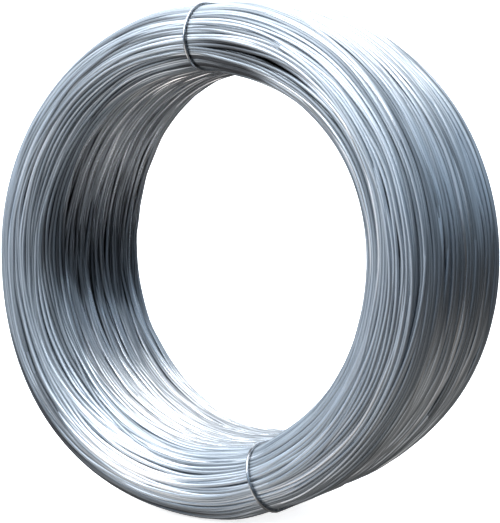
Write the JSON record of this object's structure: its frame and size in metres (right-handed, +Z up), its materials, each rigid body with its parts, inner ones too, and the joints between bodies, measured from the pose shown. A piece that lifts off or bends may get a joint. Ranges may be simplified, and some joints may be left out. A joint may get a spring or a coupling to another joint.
{
  "type": "coil of galvanised steel wire",
  "caption": "Ring-shaped coil of bright zinc-coated steel wire with an open bore, standing on its rim and held by wire ties; stock for fencing, binding and forming.",
  "frame": {"origin": "the middle of the bore, on its axis", "axes": "+Y along the bore axis, away from the end that the picture shows; +Z up, as the coil stands on its rim; +X to the right as seen from that end"},
  "size_m": [0.486, 0.1929, 0.4857],
  "materials": {
    "wire": "bright zinc coating, drawn wire",
    "tie_wire": "zinc coating, duller than the coil"
  },
  "bodies": {
    "root": {"coil": "wire", "tie_top": "tie_wire", "tie_bottom": "tie_wire"}
  },
  "joints": []
}
